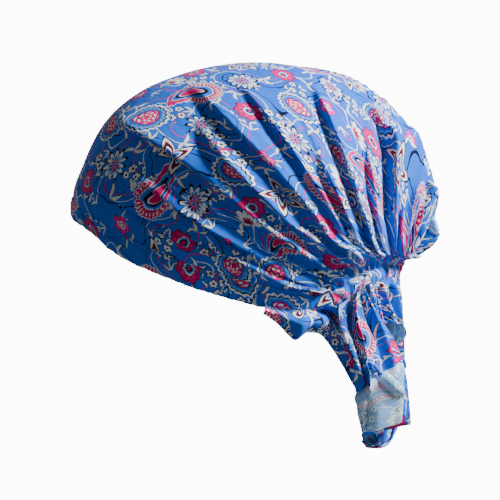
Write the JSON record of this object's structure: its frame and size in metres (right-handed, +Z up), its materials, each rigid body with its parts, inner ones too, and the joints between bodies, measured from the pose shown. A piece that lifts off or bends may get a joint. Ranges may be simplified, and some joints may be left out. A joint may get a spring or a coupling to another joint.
{
  "type": "pre-tied bandana",
  "caption": "Soft cotton bandana in its worn form: a pleated crown gathered behind the ears, a folded brow band, a ruched nape casing, a frill, a rolled sash and hanging tails.",
  "frame": {"origin": "inside of the top of the crown, on the middle plane, where the cloth lies on the head", "axes": "+Z up, -Y towards the brow, +Y towards the nape, +X towards the wearer's left"},
  "size_m": [0.1878, 0.2272, 0.2417],
  "materials": {
    "printed_cotton": "matt plain-weave cotton, royal blue with a small paisley and flower print",
    "casing_cotton": "the same cotton, ruched over an elastic",
    "sash_cotton": "the same cotton, rolled and twisted"
  },
  "bodies": {
    "root": {"crown": "printed_cotton", "front_band": "printed_cotton", "nape_elastic": "casing_cotton", "nape_skirt": "printed_cotton", "nape_sash": "sash_cotton", "left_tail": "printed_cotton", "right_tail": "printed_cotton", "left_flap": "printed_cotton", "right_flap": "printed_cotton"}
  },
  "joints": []
}
